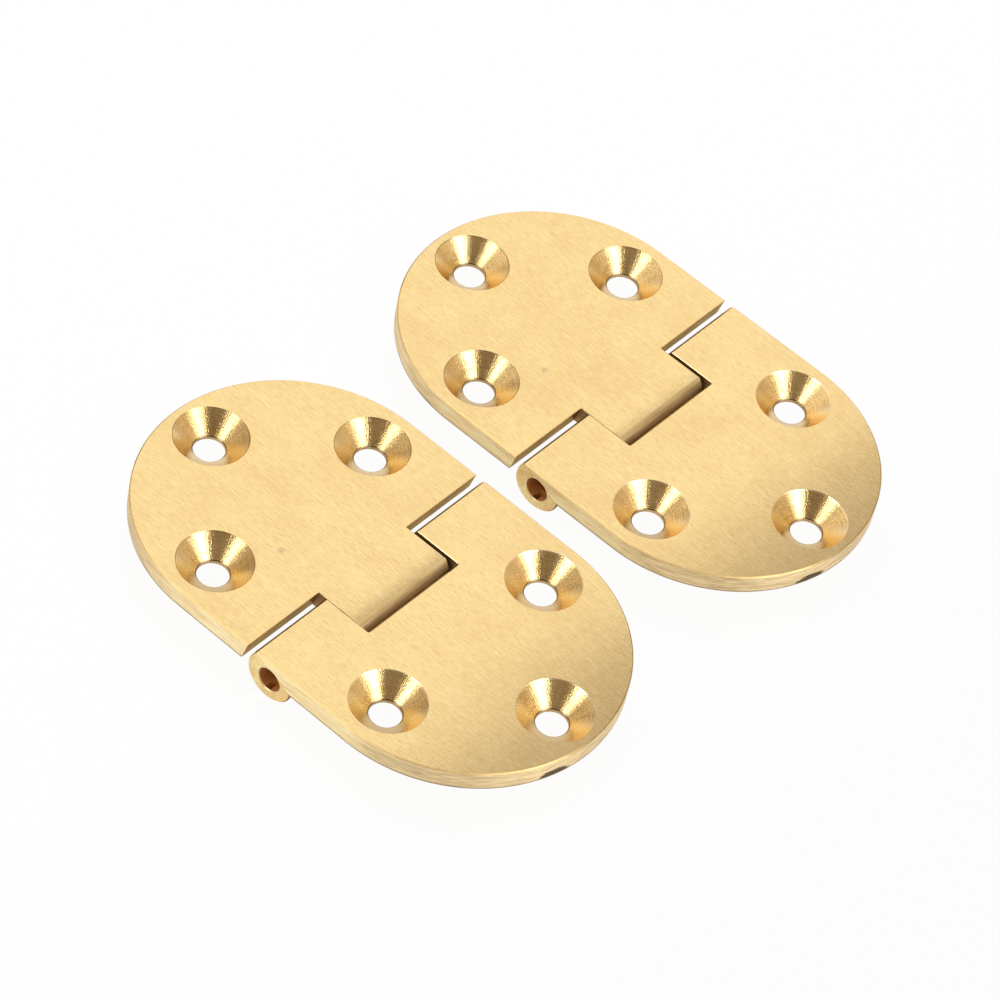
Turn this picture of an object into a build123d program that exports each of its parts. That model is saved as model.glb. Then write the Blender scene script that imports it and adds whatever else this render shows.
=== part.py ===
from build123d import *
import os
from math import hypot, sqrt

# A pair of butler tray hinges lying open and flat, screw heads up. Sizes are in millimetres.
# Each hinge is drawn about its own pin, which lies along Y. The fork leaf runs to +X, the tongue leaf to -X,
# and the undersides of both leaves lie in the plane of the pin's axis, at Z = 0.

# Leaves
leaf_width = 38.0
leaf_thickness = 2.65
fork_reach = 30.55  # pin axis to the rounded end of the fork leaf
tongue_reach = 32.95  # pin axis to the rounded end of the tongue leaf
rim_break = 0.15
slot_edge_break = 0.1

# Screw holes, three in each leaf: one by the rounded end and a pair nearer the pin
screw_hole_diameter = 3.8
countersink_diameter = 9.0
countersink_angle = 98
end_rim_margin = 0.95  # face left between the end countersink and the rounded end
side_rim_margin = 1.5  # and between each countersink of the pair and its long side
pair_hole_setback = 13.15  # from the end hole's centre to the pair, along the leaf

# Barrel and pin
barrel_radius = 3.2
barrel_rise = 0.4  # the round is centred this much above the pin, which leaves more metal over the pin
pin_diameter = 3.1
pin_recess = 2.0  # each end of the pin stops this far inside the end of the barrel
pin_end_chamfer = 0.3
pin_running_clearance = 0.03  # on the radius, in the tongue's eye; the pin is tight in the fork
bore_mouth_chamfer = 0.12

# Tongue in its notch
notch_width = 15.0
notch_corner_radius = 0.25
tongue_side_play = 0.5  # both sides together
tongue_near_gap = 0.05  # the tongue lies almost against the near cheek of the notch
swing_clearance = 0.14  # between the furthest edge of the fork's knuckles and the walls that turn past them
notch_clearance = 0.49  # between the tongue's furthest edge and the end wall of the notch
wall_lean = 0.6  # the walls beside the knuckles lean back by this much from the face down to the underside

# The two hinges side by side
pair_gap = 5.5  # between the long sides that face each other
pair_shift = 1.2  # the far hinge lies this much further towards +X

# The round meets the face at knuckle_flat from the pin, at the knuckle's furthest edge from the axis
knuckle_flat = sqrt(barrel_radius**2 - (leaf_thickness - barrel_rise) ** 2)
knuckle_sweep = hypot(knuckle_flat, leaf_thickness)
wall_distance = knuckle_sweep + swing_clearance
notch_wall = knuckle_sweep + notch_clearance
half_width = leaf_width / 2
end_hole_margin = countersink_diameter / 2 + end_rim_margin
pair_hole_spacing = leaf_width - countersink_diameter - 2 * side_rim_margin
tongue_near = tongue_near_gap - notch_width / 2
tongue_far = notch_width / 2 - (tongue_side_play - tongue_near_gap)
beyond_barrel = 2 * barrel_radius  # far enough up and down to pass everything
hair = 0.001  # edges are picked out by their place to within this


def side_view(reach, side):
    # The barrel's round and the plate, flush on top
    with BuildSketch(Plane.XZ) as view:
        with Locations((0, barrel_rise)):
            Circle(barrel_radius)
        with Locations((side * reach / 2, leaf_thickness / 2)):
            Rectangle(reach, leaf_thickness)
        with Locations((0, leaf_thickness)):
            Rectangle(2 * beyond_barrel, beyond_barrel, align=(Align.CENTER, Align.MIN), mode=Mode.SUBTRACT)
    return view.sketch


def plan_view(start, reach, side):
    # From a straight edge at X = start to the half-round end
    with BuildSketch() as plan:
        with BuildLine():
            near = Line((side * start, -half_width), (side * (reach - half_width), -half_width))
            end = ThreePointArc(near @ 1, (side * reach, 0), (side * (reach - half_width), half_width))
            far = Line(end @ 1, (side * start, half_width))
            Line(far @ 1, near @ 0)
        make_face()
    return plan.sketch


def hole_places(reach, side):
    end_x = reach - end_hole_margin
    pair_x = end_x - pair_hole_setback
    places = [(end_x, 0), (pair_x, -pair_hole_spacing / 2), (pair_x, pair_hole_spacing / 2)]
    return [(side * x, y, leaf_thickness) for x, y in places]


def sink_screw_holes(reach, side):
    # Cuts them in the leaf that is being built
    with Locations(*hole_places(reach, side)):
        CounterSinkHole(
            screw_hole_diameter / 2, countersink_diameter / 2, counter_sink_angle=countersink_angle
        )


def edges_at(leaf, height):
    return leaf.edges().filter_by(lambda edge: abs(edge.center().Z - height) < hair)


def outer_rim(leaf, height):
    # The long sides and the rounded end, without the edges that run across beside the pin
    return edges_at(leaf, height).filter_by(
        lambda edge: edge.geom_type == GeomType.CIRCLE or abs(abs(edge.center().Y) - half_width) < hair
    )


def end_circles(leaf, radius):
    # The barrel's round or its bore, where they come out at the leaf's long sides
    return leaf.edges().filter_by(GeomType.CIRCLE).filter_by(
        lambda edge: abs(edge.radius - radius) < hair and abs(abs(edge.center().Y) - half_width) < hair
    )


# Fork leaf: its side view drawn out across the width and trimmed to its plan, then notched and drilled
with BuildPart() as fork_leaf:
    extrude(side_view(fork_reach, 1), amount=half_width, both=True)
    extrude(plan_view(-barrel_radius, fork_reach, 1), amount=beyond_barrel, both=True, mode=Mode.INTERSECT)
    chamfer(outer_rim(fork_leaf, leaf_thickness), length=rim_break)
    chamfer(outer_rim(fork_leaf, 0) + end_circles(fork_leaf, barrel_radius), length=rim_break)
    with BuildSketch() as notch:
        with Locations((notch_wall, 0)):
            Rectangle(notch_wall + barrel_radius, notch_width, align=(Align.MAX, Align.CENTER))
        fillet(notch.vertices().group_by(Axis.X)[-1], radius=notch_corner_radius)
    extrude(amount=beyond_barrel, both=True, mode=Mode.SUBTRACT)
    notch_edges = edges_at(fork_leaf, leaf_thickness).filter_by(
        lambda edge: abs(edge.center().Y) < notch_width / 2 + hair
        and -knuckle_flat + hair < edge.center().X < notch_wall + hair
    )
    chamfer(notch_edges, length=slot_edge_break)
    sink_screw_holes(fork_reach, 1)
    with Locations(Plane.XZ):
        Hole(pin_diameter / 2)
    chamfer(end_circles(fork_leaf, pin_diameter / 2), length=bore_mouth_chamfer)

# Tongue leaf: made the same way, with the tongue left standing between the fork's knuckles
with BuildPart() as tongue_leaf:
    extrude(side_view(tongue_reach, -1), amount=half_width, both=True)
    with BuildSketch() as tongue_plan:
        add(plan_view(wall_distance, tongue_reach, -1))
        with Locations((0, tongue_near)):
            Rectangle(2 * wall_distance, tongue_far - tongue_near, align=(Align.CENTER, Align.MIN))
    extrude(amount=beyond_barrel, both=True, mode=Mode.INTERSECT)
    wall_foot = -wall_distance - wall_lean
    for start, stop in ((tongue_near, -half_width), (tongue_far, half_width)):
        with BuildSketch(Plane.XZ.offset(-start)):
            with BuildLine():
                Polyline((-wall_distance, leaf_thickness), (-wall_distance, 0), (wall_foot, 0), close=True)
            make_face()
        extrude(amount=start - stop, mode=Mode.SUBTRACT)
    chamfer(outer_rim(tongue_leaf, leaf_thickness) + outer_rim(tongue_leaf, 0), length=rim_break)
    slot_edges = edges_at(tongue_leaf, leaf_thickness).filter_by(
        lambda edge: -wall_distance - hair < edge.center().X < knuckle_flat - hair
    )
    chamfer(slot_edges, length=slot_edge_break)
    sink_screw_holes(tongue_reach, -1)
    with Locations(Plane.XZ):
        Hole(pin_diameter / 2 + pin_running_clearance)

# Hinge pin: a plain rod with chamfered ends
with BuildPart() as hinge_pin:
    with BuildSketch(Plane.XZ):
        Circle(pin_diameter / 2)
    extrude(amount=half_width - pin_recess, both=True)
    chamfer(hinge_pin.edges().filter_by(GeomType.CIRCLE), length=pin_end_chamfer)

# Both hinges rest on their barrels at Z = 0, and the box round them is centred on the origin
pin_height = barrel_radius - barrel_rise
pair_pitch = leaf_width + pair_gap
near_x = (tongue_reach - fork_reach - pair_shift) / 2
places = {
    "near": (near_x, -pair_pitch / 2, pin_height),
    "far": (near_x + pair_shift, pair_pitch / 2, pin_height),
}
pieces = {"fork_leaf": fork_leaf, "tongue_leaf": tongue_leaf, "hinge_pin": hinge_pin}

os.makedirs("parts", exist_ok=True)
for side, place in places.items():
    for piece, model in pieces.items():
        with BuildPart() as placed:
            with Locations(place):
                add(model.part)
        placed.part.label = f"{side}_{piece}"
        export_step(placed.part, f"parts/{side}_{piece}.step")
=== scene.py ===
import math

import bpy
from mathutils import Matrix, Vector

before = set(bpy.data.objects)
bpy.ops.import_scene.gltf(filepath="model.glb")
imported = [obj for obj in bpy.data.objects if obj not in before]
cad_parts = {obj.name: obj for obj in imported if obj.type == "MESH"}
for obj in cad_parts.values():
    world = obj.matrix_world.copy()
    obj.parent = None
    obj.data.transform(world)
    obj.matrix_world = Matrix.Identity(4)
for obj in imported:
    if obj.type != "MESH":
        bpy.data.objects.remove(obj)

# A pair of butler tray hinges in brushed brass, lying open with their countersinks up.
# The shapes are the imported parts; this script gives them their finishes, the light and the camera.
# Distances are in metres, so mm turns a size in millimetres into one.
mm = 0.001
bpy.context.view_layer.update()


class Wire:  # one socket of a node tree; sums on wires become Math nodes
    def __init__(self, tree, socket=None):
        self.tree = tree
        self.socket = socket

    def make(self, kind, settings=None, sockets=None, out=0):
        node = self.tree.nodes.new(kind)
        for name, value in (settings or {}).items():
            setattr(node, name, value)
        for name, value in (sockets or {}).items():
            if isinstance(value, Wire):
                self.tree.links.new(value.socket, node.inputs[name])
            else:
                node.inputs[name].default_value = value
        return Wire(self.tree, node.outputs[out] if node.outputs else None)

    def math(self, operation, *others):
        return self.make("ShaderNodeMath", {"operation": operation}, dict(enumerate((self, *others))))

    def __add__(self, other):
        return self.math("ADD", other)

    def __radd__(self, other):
        return self.math("ADD", other)

    def __sub__(self, other):
        return self.math("SUBTRACT", other)

    def __rsub__(self, other):
        return self.make("ShaderNodeMath", {"operation": "SUBTRACT"}, {0: other, 1: self})

    def __mul__(self, other):
        return self.math("MULTIPLY", other)

    def __rmul__(self, other):
        return self.math("MULTIPLY", other)

    def __truediv__(self, other):
        return self.math("DIVIDE", other)

    def __abs__(self):
        return self.math("ABSOLUTE")

    def over(self, limit):  # 1 where the value is above the limit
        return self.math("GREATER_THAN", limit)

    def between(self, low, high):  # from low to high as the value goes from 0 to 1
        return self * (high - low) + low

    def ease(self, low, high):  # 0 up to low, 1 from high, smooth between them
        settings = {"interpolation_type": "SMOOTHSTEP"}
        return self.make("ShaderNodeMapRange", settings, {"Value": self, "From Min": low, "From Max": high})

    def swing(self, weight):  # a pattern's ups and downs about its middle
        return (self - 0.5) * weight

    def part(self, axis):  # one part of a vector: 0, 1 or 2
        return self.make("ShaderNodeSeparateXYZ", {}, {0: self}, axis)

    def vector(self, operation, *others, out=0):
        sockets = dict(enumerate((self, *others)))
        return self.make("ShaderNodeVectorMath", {"operation": operation}, sockets, out)

    def scaled(self, direction):  # a vector along direction, as long as the value
        return self.make("ShaderNodeVectorMath", {"operation": "SCALE"}, {0: direction, "Scale": self})

    def blend(self, first, second):  # from the first colour to the second as the value goes from 0 to 1
        return self.make("ShaderNodeMix", {"data_type": "RGBA"}, {0: self, 6: first, 7: second}, 2)


def rgba(colour):
    return (*colour, 1)


def emptyTree(owner):
    owner.use_nodes = True
    owner.node_tree.nodes.clear()
    return Wire(owner.node_tree)


def place(start):  # where a point is on its part, in metres; it stays with the part in every pose
    return start.make("ShaderNodeTexCoord", out="Object")


def joined(start, x, y, z):
    return start.make("ShaderNodeCombineXYZ", {}, {0: x, 1: y, 2: z})


def noise(start, at, sizes, detail=2, rough=0.5, shift=0):
    # Noise whose grains are sizes long along each axis, and endless where that is 0.
    # shift picks another part of the pattern.
    stretch = tuple(1 / size if size else 0 for size in sizes)
    spot = at.vector("MULTIPLY", stretch).vector("ADD", (shift, shift, shift))
    sockets = {"Vector": spot, "Scale": 1, "Detail": detail, "Roughness": rough}
    return start.make("ShaderNodeTexNoise", {}, sockets)


def shade(tone, deep, light):  # the deep colour where tone is 0 and the light one where it is 1
    return tone.ease(0, 1).blend(rgba(deep), rgba(light))


def metal(start, colour, roughness, relief, depth, grazing=(1, 1, 1)):
    # Bare metal with a relief this deep; grazing tints what it reflects at a low angle
    bump = start.make("ShaderNodeBump", {}, {"Strength": 1, "Distance": depth, "Height": relief})
    sockets = {
        "Base Color": colour,
        "Metallic": 1,
        "Roughness": roughness,
        "Specular Tint": rgba(grazing),
        "Normal": bump,
    }
    shader = start.make("ShaderNodeBsdfPrincipled", {}, sockets)
    start.make("ShaderNodeOutputMaterial", {}, {"Surface": shader})


# Places on a hinge that the finishes need, in the same millimetres as the model
hinge = {
    "pins": ((0.6, -21.75), (1.8, 21.75)),  # where each hinge's pin is, near and far
    "pinHeight": 2.8,
    "faceHeight": 5.45,
    "barrelRadius": 3.2,
    "barrelRise": 0.4,
    "halfWidth": 19.0,
    "endHole": 25.1,  # on the fork leaf, from the pin
    "pairHole": 11.95,
    "pairHalfSpacing": 13.0,
    "tongueLonger": 2.4,  # the tongue leaf's holes lie this much further from the pin
    "countersinkRadius": 4.5,
    "holeRadius": 1.9,
    "boreRadius": 1.6,
    "notchHalf": 7.5,
}


def fromPin(at):
    # How far a point is from its own hinge's pin along X and Y, and 1 on the far hinge
    x, y = at.part(0), at.part(1)
    far = y.over(0)
    (nearX, nearY), (farX, farY) = hinge["pins"]
    return x - far.between(nearX * mm, farX * mm), y - far.between(nearY * mm, farY * mm), far


def alongLeaf(fromPinX):
    # How far out on its leaf a point lies, counted as on the fork leaf, and 1 on the tongue leaf
    onTongueLeaf = 1 - fromPinX.over(0)
    return abs(fromPinX) - onTongueLeaf * (hinge["tongueLonger"] * mm), onTongueLeaf


print("Finishes")

face = {
    "light": (0.995, 0.782, 0.360),
    "deep": (0.850, 0.628, 0.270),
    "roughness": (0.08, 0.15),
    "depth": 0.011 * mm,
    "dashLength": 1.1 * mm,  # short brushed dashes, with longer strokes among them
    "dashWidth": 0.10 * mm,
    "dashShare": 0.72,
    "strokeLength": 6 * mm,
    "strokeWidth": 0.13 * mm,
    "contrast": 4.2,
    "patchSize": 3.5 * mm,  # some patches have more contrast than others and are lighter
    "patchContrast": 2,
    "patchTone": 0.6,
    "cloudSize": 9 * mm,
    "cloudTone": 0.8,
    "scratchColour": (1.0, 0.82, 0.46),
    "scratchLength": 4 * mm,
    "scratchWidth": 0.11 * mm,
    "scratchSlant": 0.10,  # they stray this much from the brushed lines
    "scratchFrom": (0.62, 0.70),  # the noise shows as a scratch from the first value, in full at the second
    "scratchStrength": 0.7,
    # Grey marks: which hinge, where along X and Y from its pin, and the radius, in millimetres
    "marks": ((0, -10.6, -6.3, 0.6), (1, -10.4, -6.3, 0.5)),
    "markColour": (0.66, 0.51, 0.27),
    "markStrength": 0.8,
    "markCore": 0.4,  # how much of the radius is as grey as the middle
    "easeStart": -2.5 * mm,  # from here to its end the tongue's face falls away a little, on a long radius
    "easeEnd": 3 * mm,
    "easeRadius": 46 * mm,
}


def brushedFace():
    material = bpy.data.materials.new("brushedFace")
    start = emptyTree(material)
    at = place(start)
    dashes = noise(start, at, (face["dashLength"], face["dashWidth"], 0), rough=0.6)
    strokes = noise(start, at, (face["strokeLength"], face["strokeWidth"], 0), rough=0.6, shift=5.3)
    patches = noise(start, at, (face["patchSize"],) * 3, shift=9.1)
    clouds = noise(start, at, (face["cloudSize"],) * 3, shift=3.1)
    slanted = at.vector("ADD", at.part(0).scaled((0, face["scratchSlant"], 0)))
    scratchSizes = (face["scratchLength"], face["scratchWidth"], 0)
    scratches = noise(start, slanted, scratchSizes, detail=1, shift=11.3).ease(*face["scratchFrom"])
    brushed = dashes * face["dashShare"] + strokes * (1 - face["dashShare"])
    tone = brushed.swing(patches.swing(face["patchContrast"]) + face["contrast"])
    tone = tone + clouds.swing(face["cloudTone"]) + patches.swing(face["patchTone"]) + 0.5
    colour = shade(tone, face["deep"], face["light"])
    colour = (scratches * face["scratchStrength"]).blend(colour, rgba(face["scratchColour"]))
    fromPinX, fromPinY, far = fromPin(at)
    for side, x, y, radius in face["marks"]:
        dx, dy = fromPinX - x * mm, fromPinY - y * mm
        away = (dx * dx + dy * dy).math("SQRT") + dashes.swing(2 * radius * mm)
        onHinge = far if side else 1 - far
        inMark = (1 - away.ease(face["markCore"] * radius * mm, radius * mm)) * onHinge
        colour = (inMark * face["markStrength"]).blend(colour, rgba(face["markColour"]))
    onTongue = (1 - abs(fromPinY).over(hinge["notchHalf"] * mm)) * (1 - fromPinX.over(face["easeEnd"]))
    past = (fromPinX - face["easeStart"]).math("MAXIMUM", 0) * onTongue
    drop = past * past / (2 * face["easeRadius"] * face["depth"])
    metal(start, colour, brushed.between(*face["roughness"]), brushed - drop, face["depth"])
    return material


wall = {
    "side": ((0.82, 0.60, 0.30), (0.99, 0.88, 0.54)),  # deep and light colour of the straight walls
    "end": ((0.60, 0.45, 0.24), (0.95, 0.77, 0.45)),  # and of the rounded ends, darker as painted shade
    "endFrom": (11.0 * mm, 15.5 * mm),  # how far along a leaf the one gives way to the other
    "roughness": (0.46, 0.60),
    "depth": 0.05 * mm,
    "lineLength": 2.5 * mm,
    "lineWidth": 0.13 * mm,
    "lineContrast": 2.8,
    "bandLength": 5 * mm,
    "bandWidth": 0.52 * mm,
    "bandContrast": 1.4,
    "brightness": 0.6,
    # A dark patch low on the fork leaf's rounded end: where from the pin, and how far it reaches
    "darkPatchAt": (29.8 * mm, -5.1 * mm, 0.3 * mm),
    "darkPatchReach": (1.0 * mm, 2.7 * mm, 0.95 * mm),
    "darkPatchEdge": (0.75, 1.0),  # full up to the first share of its reach and gone from the second
    "darkPatchRagged": 0.8,
    "darkPatchColour": (0.11, 0.08, 0.04),
    "foot": (0.15 * mm, 0.45 * mm),  # the lower edge is painted in shade up to the first height, clear from the second
    "footColour": (0.30, 0.20, 0.10),
}


def milledWall():
    material = bpy.data.materials.new("milledWall")
    start = emptyTree(material)
    at = place(start)
    lineSizes = (wall["lineLength"], wall["lineLength"], wall["lineWidth"])
    lines = noise(start, at, lineSizes, detail=3, rough=0.6, shift=1.3)
    bands = noise(start, at, (wall["bandLength"], wall["bandLength"], wall["bandWidth"]), shift=5.9)
    tone = lines.swing(wall["lineContrast"]) + bands.swing(wall["bandContrast"]) + wall["brightness"]
    fromPinX, fromPinY, _ = fromPin(at)
    along, _ = alongLeaf(fromPinX)
    # The rounded ends take the darker colours: painted shade
    colour = along.ease(*wall["endFrom"]).blend(shade(tone, *wall["side"]), shade(tone, *wall["end"]))
    height = at.part(2) - hinge["pinHeight"] * mm
    away = joined(start, fromPinX, fromPinY, height).vector("SUBTRACT", wall["darkPatchAt"])
    shares = away.vector("MULTIPLY", tuple(1 / size for size in wall["darkPatchReach"])).vector("LENGTH", out=1)
    inDarkPatch = 1 - (shares + lines.swing(wall["darkPatchRagged"])).ease(*wall["darkPatchEdge"])
    colour = inDarkPatch.blend(colour, rgba(wall["darkPatchColour"]))
    # Painted shade along the wall's lower edge
    colour = height.ease(*wall["foot"]).blend(rgba(wall["footColour"]), colour)
    metal(start, colour, lines.between(*wall["roughness"]), lines, wall["depth"])
    return material


sink = {
    "light": (0.95, 0.70, 0.33),
    "deep": (0.66, 0.44, 0.17),
    "brightness": 0.62,
    "flankPaintedReflection": (0.98, 0.84, 0.56),  # a paler side of each cone, a painted reflection of the cone in itself
    "flankAzimuth": -58.25,  # the direction of its middle, in degrees from +X towards +Y
    "flankReach": (80, 106),  # full within the first angle of that direction, none beyond the second
    "roughness": (0.09, 0.20),
    "grazing": (0.90, 0.77, 0.58),
    "depth": 0.010 * mm,
    "ringWidth": 0.12 * mm,
    "ringChange": 0.8,  # how fast a ring changes on its way round
    "ringContrast": 1.2,
    "chatterWidth": 0.05,  # in radians round the hole
    "chatterLength": 2 * mm,
    "chatterContrast": 1.2,
    "chatterRelief": 1.6,  # against 1 for the rings
    "grainSize": 0.16 * mm,
    "grainContrast": 2.2,
    "grainRelief": 2,
    "patchSize": 4 * mm,
    "patchContrast": 1.4,
    "lip": 4.38 * mm,  # beyond this radius the edge is painted, as a highlight round the fork leaf's holes and as shade round the tongue leaf's
    "forkLipHighlight": (1.0, 0.82, 0.48),
    "tongueLipShade": (0.66, 0.48, 0.22),
    "throat": 2.02 * mm,  # and inside this one the cone is dark
    "throatColour": (0.30, 0.21, 0.11),
}


def turnedSink():
    # Fine rings from the cutter, crossed by faint chatter that runs down the cone
    material = bpy.data.materials.new("turnedSink")
    start = emptyTree(material)
    at = place(start)
    fromPinX, fromPinY, far = fromPin(at)
    along, onTongueLeaf = alongLeaf(fromPinX)
    atEnd = along.over((hinge["endHole"] + hinge["pairHole"]) / 2 * mm)
    holeX = atEnd.between(hinge["pairHole"] * mm, hinge["endHole"] * mm)
    holeY = fromPinY.math("SIGN") * (1 - atEnd) * (hinge["pairHalfSpacing"] * mm)
    dx = (along - holeX) * (1 - onTongueLeaf * 2)
    dy = fromPinY - holeY
    radius = (dx * dx + dy * dy).math("SQRT")
    turn = dy.math("ARCTAN2", dx)
    ringAt = joined(start, turn * sink["ringChange"], radius / sink["ringWidth"], holeX / mm)
    rings = noise(start, ringAt, (1, 1, 1))
    holeNumber = atEnd * 9 + far * 5 + onTongueLeaf * 3  # so that no two holes have the same chatter
    chatterAt = joined(start, turn / sink["chatterWidth"], radius / sink["chatterLength"], holeNumber)
    chatter = noise(start, chatterAt, (1, 1, 1))
    grain = noise(start, at, (sink["grainSize"],) * 3, rough=0.6, shift=2.2)
    patches = noise(start, at, (sink["patchSize"],) * 3, detail=1, shift=4.2)
    tone = rings.swing(sink["ringContrast"]) + chatter.swing(sink["chatterContrast"])
    tone = tone + grain.swing(sink["grainContrast"]) + patches.swing(sink["patchContrast"])
    colour = shade(tone + sink["brightness"], sink["deep"], sink["light"])
    # Each cone is paler on the side towards the camera's azimuth: a painted reflection
    azimuth = math.radians(sink["flankAzimuth"])
    nearness = (dx * math.cos(azimuth) + dy * math.sin(azimuth)) / radius
    full, none = (math.cos(math.radians(angle)) for angle in sink["flankReach"])
    colour = nearness.ease(none, full).blend(colour, rgba(sink["flankPaintedReflection"]))
    # The lip is a painted highlight on the fork leaf and painted shade on the tongue leaf
    lipHighlightAndShade = onTongueLeaf.blend(rgba(sink["forkLipHighlight"]), rgba(sink["tongueLipShade"]))
    colour = radius.over(sink["lip"]).blend(colour, lipHighlightAndShade)
    colour = radius.over(sink["throat"]).blend(rgba(sink["throatColour"]), colour)
    relief = rings + chatter * sink["chatterRelief"] + grain * sink["grainRelief"]
    metal(start, colour, grain.between(*sink["roughness"]), relief, sink["depth"], sink["grazing"])
    return material


# The plainer finishes: deep and light colour, least and most roughness, the grain's size along X, Y and Z
# and its depth, both in millimetres. Each has its own part of the noise, by its place in this table.
plain = {
    # The land, the slot's walls, the cheeks and the bore are darker than the faces: painted shade in those
    # recesses
    "land": ((0.40, 0.28, 0.14), (0.72, 0.52, 0.27), (0.25, 0.40), (0.25, 0.25, 0.25), 0.02),
    "slotWall": ((0.30, 0.22, 0.10), (0.58, 0.45, 0.24), (0.28, 0.45), (0.25, 0.25, 0.25), 0.02),
    "shaded": ((0.44, 0.31, 0.14), (0.64, 0.47, 0.22), (0.32, 0.46), (0.25, 0.25, 0.25), 0.01),
    "cheek": ((0.38, 0.24, 0.11), (0.54, 0.36, 0.17), (0.45, 0.60), (0.25, 0.25, 0.25), 0.01),
    "pin": ((0.34, 0.20, 0.09), (0.46, 0.28, 0.12), (0.50, 0.65), (0.25, 0.12, 0.25), 0.02),
    "bore": ((0.66, 0.37, 0.15), (0.80, 0.47, 0.19), (0.75, 0.85), (0.25, 0.12, 0.25), 0.02),
    "barrel": ((0.84, 0.61, 0.28), (0.96, 0.75, 0.38), (0.20, 0.34), (0.15, 3.0, 0.15), 0.02),
    # The top of the tongue's round is darker, as painted shade, and the band below it lighter, as a painted
    # highlight
    "tongueTop": ((0.60, 0.46, 0.22), (0.76, 0.60, 0.32), (0.50, 0.60), (0.15, 3.0, 0.15), 0.004),
    "tongueEnd": ((0.80, 0.63, 0.34), (0.96, 0.80, 0.50), (0.50, 0.60), (0.15, 3.0, 0.15), 0.004),
    "knuckleEnd": ((0.80, 0.53, 0.20), (1.0, 0.88, 0.48), (0.50, 0.64), (0.26, 0.26, 0.18), 0.05),
    "under": ((0.76, 0.54, 0.25), (0.86, 0.64, 0.31), (0.30, 0.42), (5.0, 0.25, 0.25), 0.02),
    "edge": ((0.86, 0.63, 0.29), (0.94, 0.72, 0.35), (0.46, 0.60), (0.6, 0.6, 0.6), 0.004),
    # Lighter rubbed edges: wear, and also a painted highlight on the notch's and the bore's edges
    "wornEdgeAndHighlight": ((0.92, 0.72, 0.40), (1.0, 0.82, 0.52), (0.40, 0.50), (0.6, 0.6, 0.6), 0.004),
}
# The dark low-angle tints dim what these finishes mirror when seen from the side: painted shade
grazingTints = {"slotWall": (0.78, 0.64, 0.44), "shaded": (0.78, 0.64, 0.44), "edge": (0.20, 0.15, 0.08)}
grained = {
    "contrast": 1.8,
    "cloudSize": 3 * mm,
    "cloudContrast": 1.2,
    "cloudShift": 4,  # from the grain's own part of the noise
}


def grainedBrass(name, shift):
    deep, light, roughness, grainSizes, depth = plain[name]
    material = bpy.data.materials.new(name + "Brass")
    start = emptyTree(material)
    at = place(start)
    grain = noise(start, at, tuple(size * mm for size in grainSizes), detail=3, rough=0.6, shift=shift)
    clouds = noise(start, at, (grained["cloudSize"],) * 3, shift=shift + grained["cloudShift"])
    tone = grain.swing(grained["contrast"]) + clouds.swing(grained["cloudContrast"]) + 0.5
    grazing = grazingTints.get(name, (1, 1, 1))
    metal(start, shade(tone, deep, light), grain.between(*roughness), grain, depth * mm, grazing)
    return material


finishes = {"face": brushedFace(), "wall": milledWall(), "sink": turnedSink()}
for shift, name in enumerate(plain):
    finishes[name] = grainedBrass(name, shift + 1)
finishOrder = list(finishes)

# How the facets are told apart: by distances in millimetres, and by the parts of their normals
zones = {
    "rim": 0.8,  # what lies within this of a leaf's long side counts as part of that side
    "beside": 1.5,  # the walls of the slot and the notch lie within this of the barrel
    "holeSlack": 0.05,  # how far outside its radius a facet of a hole may lie
    "boreSlack": 0.15,
    "barrelSlack": 0.08,
    "underSlack": 0.01,
    "forkShadedFrom": 0.9,  # heights over the pin, on the rounds
    "tongueShadedFrom": -1,
    "tongueEndFrom": 1.3,
    "tongueTopFrom": 2.15,
    # Parts of a normal
    "level": 0.98,  # at least this much of one that points straight up or down
    "across": 0.3,  # at most this much of one that lies across a direction
    "square": 0.9,  # at least this much of one that points along the pin
    "boreSquare": 0.95,
    "coneDown": -0.5,  # no facet of a countersink points further down than this
    "rimOutward": 0.2,  # rims that point this much outward, and not to the near side, are painted in shade
    "rimNearward": -0.35,
}


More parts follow.
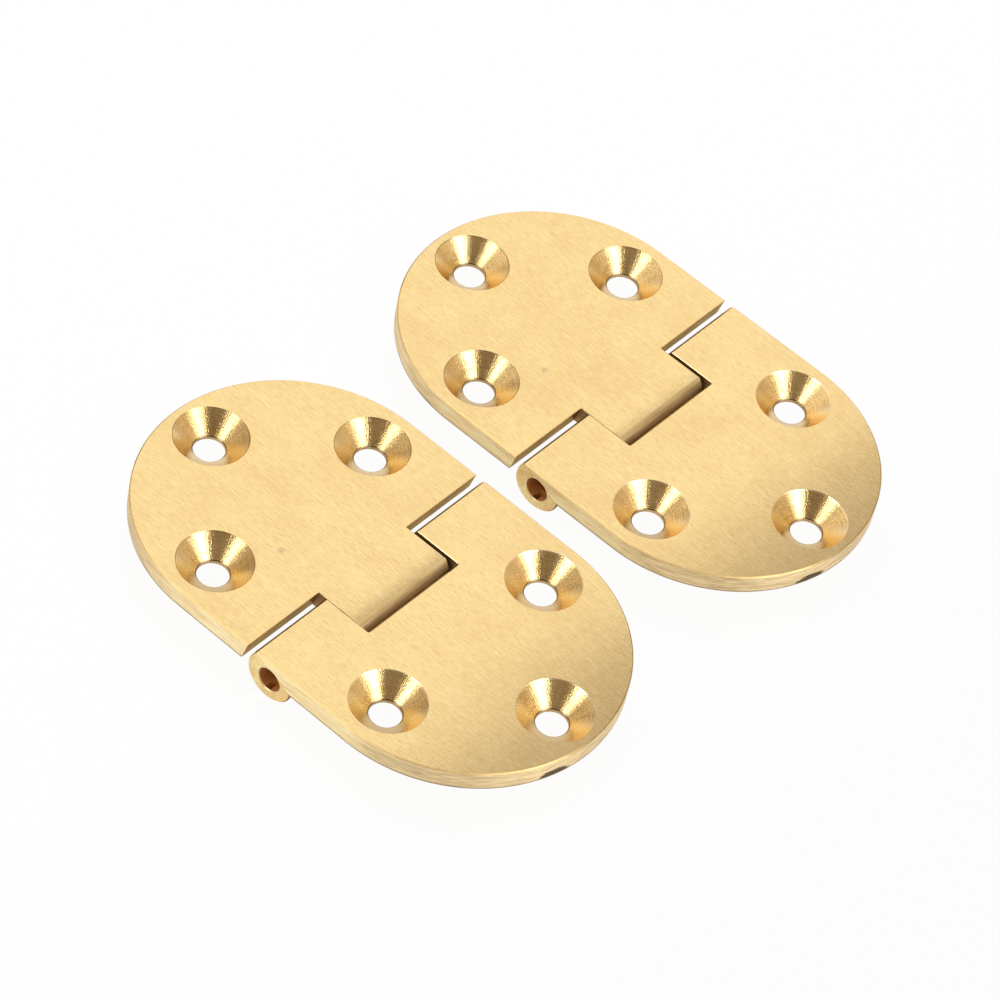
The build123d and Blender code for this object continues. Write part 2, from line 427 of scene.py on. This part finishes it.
def finishOf(centre, normal, side, onFork):
    # Which finish a facet has, from where it is about its own hinge's pin and which way it faces
    pinX, pinY = hinge["pins"][side]
    x, y, z = centre.x / mm - pinX, centre.y / mm - pinY, centre.z / mm - hinge["pinHeight"]
    along = abs(x) - (hinge["tongueLonger"] if x < 0 else 0)
    endGap = math.hypot(along - hinge["endHole"], y)
    pairGap = math.hypot(along - hinge["pairHole"], abs(y) - hinge["pairHalfSpacing"])
    holeGap = min(endGap, pairGap)
    fromAxis = math.hypot(x, z)
    fromBarrel = math.hypot(x, z - hinge["barrelRise"])
    insideLeaf = abs(y) < hinge["halfWidth"] - zones["rim"]
    beside = abs(x) < hinge["barrelRadius"] + zones["beside"]
    acrossPin = abs(normal.y) < zones["across"]
    alongPin = abs(normal.y) > zones["square"]
    if normal.z > zones["level"]:
        return "face"
    if holeGap < hinge["holeRadius"] + zones["holeSlack"] and abs(normal.z) < zones["across"]:
        return "land"
    if holeGap < hinge["countersinkRadius"] + zones["holeSlack"] and normal.z > zones["coneDown"]:
        return "sink"
    if normal.z < -zones["level"] and z > -zones["underSlack"]:
        return "under"
    if fromAxis < hinge["boreRadius"] + zones["boreSlack"]:
        return "bore" if acrossPin or abs(normal.y) > zones["boreSquare"] else "wornEdgeAndHighlight"
    if not insideLeaf and alongPin and fromBarrel < hinge["barrelRadius"]:
        return "knuckleEnd"
    if beside and acrossPin and abs(fromBarrel - hinge["barrelRadius"]) < zones["barrelSlack"]:
        # A round is painted in shade where it faces a wall: a knuckle's over the slot, the tongue's low in
        # the notch, while higher up the tongue's round has a painted highlight band under a darker painted
        # top
        if onFork:
            return "shaded" if x < 0 and z > zones["forkShadedFrom"] else "barrel"
        if x < 0 or z < zones["tongueShadedFrom"]:
            return "barrel"
        if z > zones["tongueTopFrom"]:
            return "tongueTop"
        return "tongueEnd" if z > zones["tongueEndFrom"] else "shaded"
    if normal.z > zones["across"]:
        if insideLeaf and beside:
            if onFork:
                return "wornEdgeAndHighlight"
            return "slotWall" if normal.y < -zones["across"] else "edge"
        # Rims that point outward, away from the near side, are painted in shade
        outward = normal.x if onFork else -normal.x
        return "shaded" if outward > zones["rimOutward"] and normal.y > zones["rimNearward"] else "edge"
    # Walls in the slot and the notch take the darker finishes of painted shade
    if insideLeaf and beside:
        return "cheek" if onFork or alongPin else "slotWall"
    # Facets that face down are painted in shade
    return "shaded" if normal.z < -zones["across"] else "wall"


for name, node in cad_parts.items():
    side = 0 if name.startswith("near") else 1
    mesh = node.data
    mesh.materials.clear()
    for finish in finishOrder:
        mesh.materials.append(finishes[finish])
    counts = dict.fromkeys(finishOrder, 0)
    for facet in mesh.polygons:
        finish = "pin" if name.endswith("pin") else finishOf(facet.center, facet.normal, side, "fork" in name)
        facet.material_index = finishOrder.index(finish)
        counts[finish] += 1
    print(name, counts)

print("Camera")

# Angles in degrees and lengths in millimetres
view = {
    "azimuth": -58.251,  # of the camera, from +X towards +Y
    "elevation": 48.125,
    "roll": 13.236,
    "target": (1.313, -3.590),  # the point on the faces that the middle of the picture shows
    "distance": 543.3,
    "lens": 172.28,
    "sensorWidth": 36,
    "clipStart": 10,
}


def towards(azimuth, elevation):
    # Unit vector at an azimuth from the camera's own, anticlockwise seen from above, and an elevation
    a, e = math.radians(view["azimuth"] + azimuth), math.radians(elevation)
    return Vector((math.cos(e) * math.cos(a), math.cos(e) * math.sin(a), math.sin(e)))


back = towards(0, view["elevation"])
right = Vector((0, 0, 1)).cross(back).normalized()
up = back.cross(right)
roll = math.radians(view["roll"])
right, up = right * math.cos(roll) + up * math.sin(roll), up * math.cos(roll) - right * math.sin(roll)
target = Vector((*view["target"], hinge["faceHeight"])) * mm
camera = bpy.data.objects.new("camera", bpy.data.cameras.new("camera"))
bpy.context.scene.collection.objects.link(camera)
camera.data.lens = view["lens"]
camera.data.sensor_width = view["sensorWidth"]
camera.data.clip_start = view["clipStart"] * mm
turned = Matrix((right, up, back)).transposed().to_4x4()
camera.matrix_world = Matrix.Translation(target + back * view["distance"] * mm) @ turned
bpy.context.scene.camera = camera

print("Floor")

floorLook = {
    "size": 6.0,  # in metres, as are the strip lamps below
    "drop": 0.02 * mm,  # it lies this far below the barrels, so that the two don't share a plane
    "colour": (0.86, 0.86, 0.86),
    "white": 0.95,  # how much of what the camera sees is plain white; the rest keeps the shadow
    "whiteInMetal": 0.55,  # and how much of what the brass mirrors, so that it shows this background too
    "gloss": 0.6,  # this share of the floor's own light is mirrored softly, so the walls show the lamps in it
    "glossRoughness": 0.22,
}


def makeFloor():
    half, z = floorLook["size"] / 2, -floorLook["drop"]
    mesh = bpy.data.meshes.new("floor")
    corners = [(-half, -half, z), (half, -half, z), (half, half, z), (-half, half, z)]
    mesh.from_pydata(corners, [], [(0, 1, 2, 3)])
    floor = bpy.data.objects.new("floor", mesh)
    bpy.context.scene.collection.objects.link(floor)
    material = bpy.data.materials.new("paleFloor")
    start = emptyTree(material)
    toCamera = start.make("ShaderNodeLightPath", out="Is Camera Ray")
    mirrored = start.make("ShaderNodeLightPath", out="Is Glossy Ray")
    throughGlass = start.make("ShaderNodeLightPath", out="Is Transmission Ray")
    whiteInMetal = mirrored.math("MAXIMUM", throughGlass) * floorLook["whiteInMetal"]
    whiteShare = toCamera * floorLook["white"] + whiteInMetal
    matt = start.make("ShaderNodeBsdfDiffuse", {}, {"Color": rgba(floorLook["colour"])})
    glossSockets = {"Color": rgba((1, 1, 1)), "Roughness": floorLook["glossRoughness"]}
    gloss = start.make("ShaderNodeBsdfGlossy", {}, glossSockets)
    surface = start.make("ShaderNodeMixShader", {}, {0: floorLook["gloss"], 1: matt, 2: gloss})
    white = start.make("ShaderNodeEmission", {}, {"Color": rgba((1, 1, 1)), "Strength": 1})
    mixed = start.make("ShaderNodeMixShader", {}, {0: whiteShare, 1: surface, 2: white})
    start.make("ShaderNodeOutputMaterial", {}, {"Surface": mixed})
    mesh.materials.append(material)


makeFloor()

print("Light")

studio = {
    "low": 0.48,  # the room at the horizon
    "rise": 0.30,  # brighter than that overhead
    "riseTo": 0.7,  # the height of a direction, from 0 to 1, at which that is full
    "lean": 0.12,  # and brighter to the camera's right
    # Two parts of the room differ: how bright they are, then the elevation of their middle, the angle
    # about it within which they are full, and the one beyond which they are gone
    "behindCamera": 0.28,
    "behindCameraAt": (50, 22, 42),
    "behindObject": 0.56,
    "behindObjectAt": (45, 25, 50),
    "behindTint": (1.0, 0.91, 0.93),
    "warmth": (1.0, 0.84, 0.66),  # the tint of the room behind the camera and low down
    "warmUpTo": (28, 45),  # it is full up to the first elevation and gone from the second
    # Azimuth from the camera's, elevation and width of each strip lamp
    "strips": ((61, 35, 0.34), (-56, 35, 0.21)),
    "stripHeight": 0.62,
    "stripDistance": 0.75,
    "stripBrightness": 3.3,  # on top of the room behind them
    "panelDistance": 150 * mm,  # of the soft panel that the faces reflect
    "panelEdgeAt": (23.0 * mm, 24.2 * mm),  # where its reflection ends on the near and the far hinge, along X
    "panelSize": (220 * mm, 520 * mm),
    "panelBrightness": 0.49,  # on top of the room behind it
}


def lobe(to, azimuth, elevation, full, none):
    # 1 within full degrees of a direction, 0 beyond none
    nearness = to.vector("DOT_PRODUCT", towards(azimuth, elevation), out=1)
    return nearness.ease(math.cos(math.radians(none)), math.cos(math.radians(full)))


def lightRoom():
    world = bpy.data.worlds.new("room")
    bpy.context.scene.world = world
    start = emptyTree(world)
    to = start.make("ShaderNodeTexCoord", out="Generated")
    lean = to.vector("DOT_PRODUCT", towards(90, 0), out=1)
    level = to.part(2).ease(0, studio["riseTo"]) * studio["rise"] + studio["low"] + lean * studio["lean"]
    behindObject = lobe(to, 180, *studio["behindObjectAt"])
    level = level + behindObject * (studio["behindObject"] - level)
    behindCamera = lobe(to, 0, *studio["behindCameraAt"])
    level = level + behindCamera * (studio["behindCamera"] - level)
    warmFull, warmEnd = (math.sin(math.radians(angle)) for angle in studio["warmUpTo"])
    warm = behindCamera.math("MAXIMUM", 1 - to.part(2).ease(warmFull, warmEnd))
    # The camera itself sees plain white
    toCamera = start.make("ShaderNodeLightPath", out="Is Camera Ray")
    level = level + toCamera * (1 - level)
    tint = (warm * (1 - toCamera)).blend(rgba((1, 1, 1)), rgba(studio["warmth"]))
    tint = (behindObject * (1 - toCamera)).blend(tint, rgba(studio["behindTint"]))
    background = start.make("ShaderNodeBackground", {}, {"Color": tint, "Strength": level})
    start.make("ShaderNodeOutputWorld", {}, {"Surface": background})


def softbox(name, middle, backward, upward, size, brightness):
    # A rectangular lamp with its back to backward; brightness is on the room's own scale
    lamp = bpy.data.lights.new(name, "AREA")
    lamp.shape = "RECTANGLE"
    lamp.size, lamp.size_y = size
    lamp.energy = brightness * math.pi * size[0] * size[1]
    holder = bpy.data.objects.new(name, lamp)
    bpy.context.scene.collection.objects.link(holder)
    z = backward.normalized()
    x = upward.cross(z).normalized()
    holder.matrix_world = Matrix.Translation(middle) @ Matrix((x, z.cross(x), z)).transposed().to_4x4()
    holder.visible_camera = False


lightRoom()
for azimuth, elevation, width in studio["strips"]:
    away = towards(azimuth, elevation)
    size = (width, studio["stripHeight"])
    middle = away * studio["stripDistance"]
    softbox("strip", middle, away, Vector((0, 0, 1)), size, studio["stripBrightness"])


def bounced(direction):
    # Looked at from this direction, a level mirror shows what lies in the direction that comes back
    return Vector((-direction.x, -direction.y, direction.z))


panelAxis = bounced(back)
faceMiddle = Vector((0, 0, hinge["faceHeight"] * mm))


def inPanel(x, y):
    # The point of the panel's plane that the camera sees in this point of a face
    point = Vector((x, y, faceMiddle.z))
    ray = bounced((camera.matrix_world.translation - point).normalized())
    ahead = studio["panelDistance"] - (point - faceMiddle).dot(panelAxis)
    return point + ray * (ahead / ray.dot(panelAxis))


edgeNear, edgeFar = (inPanel(x, pinY * mm) for x, (_, pinY) in zip(studio["panelEdgeAt"], hinge["pins"]))
edgeLine = (edgeFar - edgeNear).normalized()
inward = panelAxis.cross(edgeLine)
if inward.x > 0:  # the panel lies on the tongue leaves' side of its edge
    inward = -inward
panelMiddle = (edgeNear + edgeFar) / 2 + inward * (studio["panelSize"][0] / 2)
softbox("panel", panelMiddle, panelAxis, edgeLine, studio["panelSize"], studio["panelBrightness"])

bpy.context.scene.view_settings.view_transform = "Standard"
bpy.context.view_layer.update()
